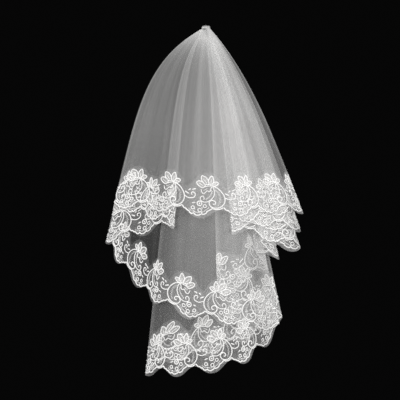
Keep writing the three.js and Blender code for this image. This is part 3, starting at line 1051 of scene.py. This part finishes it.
def thread_material():
    """Satin-stitched thread: fine ridges across the cord, with painted shade in their grooves.

    Where the cord is covered by other layers, painted shade makes it darker and fainter.
    """
    material, tree, shader = new_material("satin_thread")
    waves = node_of(tree, "ShaderNodeTexWave", inputs={
        "Vector": map_of(tree, "flat"), "Scale": SATIN_STITCHES, "Distortion": SATIN_BEND,
        "Detail": 1.0}).outputs["Fac"]
    bump = node_of(tree, "ShaderNodeBump", inputs={
        "Height": waves, "Strength": SATIN_RELIEF_STRENGTH, "Distance": SATIN_RELIEF})
    tree.links.new(bump.outputs[0], shader.inputs["Normal"])
    # Painted shade in the grooves between the stitches, where the relief is low
    tint = mixed(tree, waves, shaded(SATIN_COLOR, SATIN_SHADE), SATIN_COLOR)
    # Painted shade: covered cords are darkened towards black and made fainter, for the layers in
    # front
    covered = value_of(tree, "covered")
    tint = mixed(tree, math_of(tree, "MULTIPLY", covered, COVERED_SHADE), tint, (0, 0, 0))
    tree.links.new(tint, shader.inputs["Base Color"])
    faint = math_of(tree, "MULTIPLY", covered, COVERED_FADE)
    tree.links.new(math_of(tree, "SUBTRACT", 1.0, faint), shader.inputs["Alpha"])
    shader.inputs["Roughness"].default_value = SATIN_ROUGHNESS
    shader.inputs["Sheen Weight"].default_value = SATIN_SHEEN
    return material


def fill_material():
    """Sparse stitches that half cover a petal."""
    material, tree, shader = new_material("petal_stitches")
    waves = node_of(tree, "ShaderNodeTexWave", {"bands_direction": "DIAGONAL"}, {
        "Vector": map_of(tree, "flat"), "Scale": PETAL_STITCHES, "Distortion": PETAL_BEND,
        "Detail": 1.0}).outputs["Fac"]
    alpha = ranged(tree, waves, PETAL_RANGE, PETAL_DENSITY)
    tree.links.new(alpha, shader.inputs["Alpha"])
    tree.links.new(mixed(tree, waves, *PETAL_COLORS), shader.inputs["Base Color"])
    shader.inputs["Roughness"].default_value = PETAL_ROUGHNESS
    return material


def comb_material():
    """Ivory moulded plastic with faint clouding."""
    material, tree, shader = new_material("ivory_plastic")
    place = node_of(tree, "ShaderNodeTexCoord")
    cloud = noise_at(tree, place.outputs["Object"], PLASTIC_CLOUDS)
    tree.links.new(mixed(tree, cloud, *PLASTIC_COLORS), shader.inputs["Base Color"])
    tree.links.new(ranged(tree, cloud, (0, 1), PLASTIC_GLOSS), shader.inputs["Roughness"])
    return material


def make_camera():
    data = bpy.data.cameras.new("camera")
    data.sensor_width = SENSOR_WIDTH
    data.lens = SENSOR_WIDTH * CAMERA_DISTANCE / VIEW_WIDTH
    camera = bpy.data.objects.new("camera", data)
    bpy.context.collection.objects.link(camera)
    x, y, z = VIEW_MIDDLE
    camera.location = (x, y - CAMERA_DISTANCE, z)
    camera.rotation_euler = (math.pi / 2, 0, 0)
    bpy.context.scene.camera = camera


def make_light(name, place, size, power):
    data = bpy.data.lights.new(name, "AREA")
    data.size = size
    data.energy = power
    light = bpy.data.objects.new(name, data)
    bpy.context.collection.objects.link(light)
    light.location = place
    aim = Vector(VIEW_MIDDLE) - Vector(place)
    light.rotation_euler = aim.to_track_quat("-Z", "Y").to_euler()
    light.visible_camera = False


def make_floor():
    angles = 2 * math.pi * np.arange(FLOOR_SIDES) / FLOOR_SIDES
    x, y = FLOOR_RADIUS * np.cos(angles), FLOOR_RADIUS * np.sin(angles)
    points = np.stack([x, y, FLOOR_LEVEL + 0 * angles], axis=1)
    mesh = bpy.data.meshes.new("floor")
    mesh.from_pydata(points.tolist(), [], [list(range(FLOOR_SIDES))])
    floor = bpy.data.objects.new("floor", mesh)
    bpy.context.collection.objects.link(floor)
    material, _, shader = new_material("pale_floor")
    shader.inputs["Base Color"].default_value = (*FLOOR_COLOR, 1)
    shader.inputs["Roughness"].default_value = FLOOR_ROUGHNESS
    mesh.materials.append(material)


def make_world():
    world = bpy.data.worlds.new("studio")
    world.use_nodes = True
    background = world.node_tree.nodes["Background"]
    background.inputs[0].default_value = (*SURROUNDINGS, 1)
    bpy.context.scene.world = world


def make_studio():
    make_camera()
    make_world()
    make_floor()
    for light in LIGHTS:
        make_light(*light)
    bpy.context.scene.cycles.transparent_max_bounces = MOST_LAYERS
    bpy.context.scene.view_settings.view_transform = "Standard"


def make_veil():
    """The net, its border, the gathered top and the comb, each with its look."""
    sheet = Sheet()
    net = make_net(sheet)
    net.data.materials.append(net_material("sheer_net", NET_DENSITY, NET_COLOR, True))
    bunch = make_bunch()
    bunch.data.materials.append(net_material("drawn_net", DRAWN_DENSITY, DRAWN_COLOR, False))
    satin = thread_material()
    cords = make_embroidery(sheet)
    fills = make_fills(sheet)
    fills.data.materials.append(fill_material())
    ground = make_ground(sheet)
    ground.data.materials.append(ground_material())
    thread = make_thread()
    for piece in cords + [thread]:
        piece.data.materials.append(satin)
    comb = make_comb()
    comb.data.materials.clear()
    comb.data.materials.append(comb_material())
    for sheer in (net, fills, ground):
        sheer.visible_shadow = False


make_studio()
make_veil()
